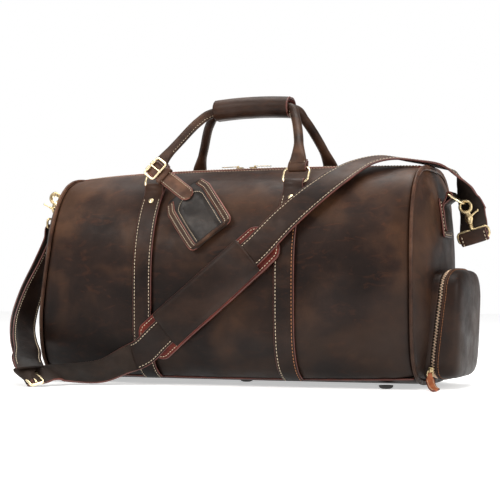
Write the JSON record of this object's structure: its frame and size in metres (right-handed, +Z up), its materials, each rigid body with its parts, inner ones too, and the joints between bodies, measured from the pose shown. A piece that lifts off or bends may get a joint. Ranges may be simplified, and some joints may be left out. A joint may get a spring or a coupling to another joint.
{
  "type": "leather weekender bag",
  "caption": "Leather travel bag with rolled twin handles, top zip, luggage tag, end shoe pocket and a padded shoulder strap laid across its front.",
  "frame": {"origin": "centre of the middle foot's underside, on the floor", "axes": "+X along the bag towards the end with the shoe pocket, +Y towards the back panel, +Z up"},
  "size_m": [0.6628, 0.3468, 0.3938],
  "materials": {
    "dark_leather": "waxed pull-up leather, mottled dark brown, satin",
    "red_leather": "smooth red-brown leather, satin",
    "pale_gold": "pale gold plated, polished",
    "antique_brass": "antique brass, lightly worn",
    "lining": "plain dark lining cloth",
    "zip_metal": "metal zip teeth on dark tape",
    "base_board": "stiff base board",
    "foot_plastic": "dark domed foot"
  },
  "bodies": {
    "bag": {"main_panel_front": "dark_leather", "zip_facing_front": "red_leather", "handle_strap_front_left": "dark_leather", "rivet_front_left": "pale_gold", "handle_strap_front_right": "dark_leather", "rivet_front_right": "pale_gold", "main_panel_back": "dark_leather", "zip_facing_back": "red_leather", "handle_strap_back_left": "dark_leather", "rivet_back_left": "pale_gold", "handle_strap_back_right": "dark_leather", "rivet_back_right": "pale_gold", "end_panel_left": "dark_leather", "piping_left": "dark_leather", "end_panel_right": "dark_leather", "piping_right": "dark_leather", "base_panel": "dark_leather", "base_board": "base_board", "lining": "lining", "main_zip_chain": "zip_metal", "foot_centre": "foot_plastic", "foot_front_left": "foot_plastic", "foot_front_right": "foot_plastic", "foot_back_left": "foot_plastic", "foot_back_right": "foot_plastic", "side_tab_left": "red_leather", "side_tab_right": "red_leather", "shoe_pocket_panel": "dark_leather", "shoe_pocket_cover": "dark_leather", "shoe_zip_chain": "zip_metal", "shoulder_strap": "dark_leather", "strap_end_left": "dark_leather", "strap_end_right": "dark_leather", "strap_slider": "pale_gold", "pad_base": "red_leather", "pad_sleeve": "dark_leather"},
    "ring_front_left": {"handle_ring_front_left": "pale_gold"},
    "ring_front_right": {"handle_ring_front_right": "pale_gold"},
    "ring_back_left": {"handle_ring_back_left": "pale_gold"},
    "ring_back_right": {"handle_ring_back_right": "pale_gold"},
    "front_handle": {"handle_front": "dark_leather", "grip_wrap": "dark_leather"},
    "back_handle": {"handle_back": "dark_leather"},
    "tag_loop": {"tag_strap": "dark_leather", "tag_buckle": "pale_gold"},
    "luggage_tag": {"tag_body": "dark_leather"},
    "zip_slider_left": {"main_zip_slider_left": "pale_gold"},
    "zip_slider_right": {"main_zip_slider_right": "pale_gold"},
    "zip_pull_left": {"main_zip_pull_left": "pale_gold"},
    "zip_pull_right": {"main_zip_pull_right": "pale_gold"},
    "shoe_slider": {"shoe_zip_slider": "zip_metal"},
    "shoe_pull": {"shoe_zip_pull": "red_leather"},
    "end_ring_left": {"d_ring_left": "pale_gold", "swivel_loop_left": "antique_brass"},
    "end_ring_right": {"d_ring_right": "pale_gold", "swivel_loop_right": "antique_brass"},
    "hook_left": {"hook_claw_left": "antique_brass"},
    "hook_right": {"hook_claw_right": "antique_brass"},
    "trigger_left": {"hook_trigger_left": "antique_brass"},
    "trigger_right": {"hook_trigger_right": "antique_brass"}
  },
  "joints": [
    {"name": "front_ring_left_turn", "type": "hinge", "parent": "bag", "child": "ring_front_left", "pos_m": [-0.101, -0.081, 0.269], "axis": [1, 0, 0], "range_deg": [0, 20]},
    {"name": "front_ring_right_turn", "type": "hinge", "parent": "bag", "child": "ring_front_right", "pos_m": [0.101, -0.081, 0.269], "axis": [1, 0, 0], "range_deg": [0, 20]},
    {"name": "back_ring_left_turn", "type": "hinge", "parent": "bag", "child": "ring_back_left", "pos_m": [-0.101, 0.081, 0.269], "axis": [-1, 0, 0], "range_deg": [0, 75]},
    {"name": "back_ring_right_turn", "type": "hinge", "parent": "bag", "child": "ring_back_right", "pos_m": [0.101, 0.081, 0.269], "axis": [-1, 0, 0], "range_deg": [0, 75]},
    {"name": "front_handle_turn", "type": "hinge", "parent": "ring_front_left", "child": "front_handle", "pos_m": [0, -0.06998, 0.28804], "axis": [1, 0, 0], "range_deg": [0, 20], "deforming": ["grip_wrap"]},
    {"name": "back_handle_turn", "type": "hinge", "parent": "ring_back_left", "child": "back_handle", "pos_m": [0, 0.06998, 0.28804], "axis": [-1, 0, 0], "range_deg": [0, 60]},
    {"name": "tag_loop_turn", "type": "hinge", "parent": "ring_front_left", "child": "tag_loop", "pos_m": [-0.101, -0.06998, 0.28804], "axis": [1, 0, 0], "range_deg": [-20, 0]},
    {"name": "luggage_tag_turn", "type": "hinge", "parent": "tag_loop", "child": "luggage_tag", "pos_m": [-0.0355, -0.1055, 0.2485], "axis": [-0.7696, -0.1899, -0.6097], "range_deg": [0, 15]},
    {"name": "zip_slider_left_slide", "type": "slide", "parent": "bag", "child": "zip_slider_left", "axis": [-0.9997, 0, -0.0225], "range_m": [0, 0.17]},
    {"name": "zip_pull_left_turn", "type": "hinge", "parent": "zip_slider_left", "child": "zip_pull_left", "pos_m": [-0.0128, 0, 0.3029], "axis": [0, 1, 0], "range_deg": [0, 100]},
    {"name": "zip_slider_right_slide", "type": "slide", "parent": "bag", "child": "zip_slider_right", "axis": [0.9997, 0, -0.0225], "range_m": [0, 0.17]},
    {"name": "zip_pull_right_turn", "type": "hinge", "parent": "zip_slider_right", "child": "zip_pull_right", "pos_m": [0.0128, 0, 0.3029], "axis": [0, -1, 0], "range_deg": [0, 100]},
    {"name": "shoe_slider_slide", "type": "slide", "parent": "bag", "child": "shoe_slider", "axis": [0.1253, 0, 0.9921], "range_m": [0, 0.095]},
    {"name": "shoe_pull_turn", "type": "hinge", "parent": "shoe_slider", "child": "shoe_pull", "pos_m": [0.28, -0.0724, 0.021], "axis": [-1, 0, 0], "range_deg": [0, 70]},
    {"name": "end_ring_left_turn", "type": "hinge", "parent": "bag", "child": "end_ring_left", "pos_m": [-0.291, 0, 0.251], "axis": [0, 1, 0], "range_deg": [0, 12], "deforming": ["strap_end_left"]},
    {"name": "hook_left_swivel", "type": "hinge", "parent": "end_ring_left", "child": "hook_left", "pos_m": [-0.30477, 0, 0.26321], "axis": [-0.02, 0, -0.9998], "range_deg": [-10, 10]},
    {"name": "trigger_left_turn", "type": "hinge", "parent": "hook_left", "child": "trigger_left", "pos_m": [-0.3051, -0.0046, 0.24722], "axis": [0, -1, 0], "range_deg": [0, 15], "stiffness_Nm_per_rad": 0.02},
    {"name": "end_ring_right_turn", "type": "hinge", "parent": "bag", "child": "end_ring_right", "pos_m": [0.291, 0, 0.251], "axis": [0, -1, 0], "range_deg": [0, 12], "deforming": ["strap_end_right"]},
    {"name": "hook_right_swivel", "type": "hinge", "parent": "end_ring_right", "child": "hook_right", "pos_m": [0.30959, 0, 0.23594], "axis": [0.2764, 0, -0.9611], "range_deg": [-10, 10]},
    {"name": "trigger_right_turn", "type": "hinge", "parent": "hook_right", "child": "trigger_right", "pos_m": [0.31401, -0.0046, 0.22056], "axis": [0, 1, 0], "range_deg": [0, 15], "stiffness_Nm_per_rad": 0.02}
  ],
  "couplings": [
    {"joint": "front_ring_right_turn", "follows": "front_ring_left_turn", "ratio": 1},
    {"joint": "back_ring_right_turn", "follows": "back_ring_left_turn", "ratio": 1},
    {"joint": "tag_loop_turn", "follows": "front_ring_left_turn", "ratio": -1}
  ]
}
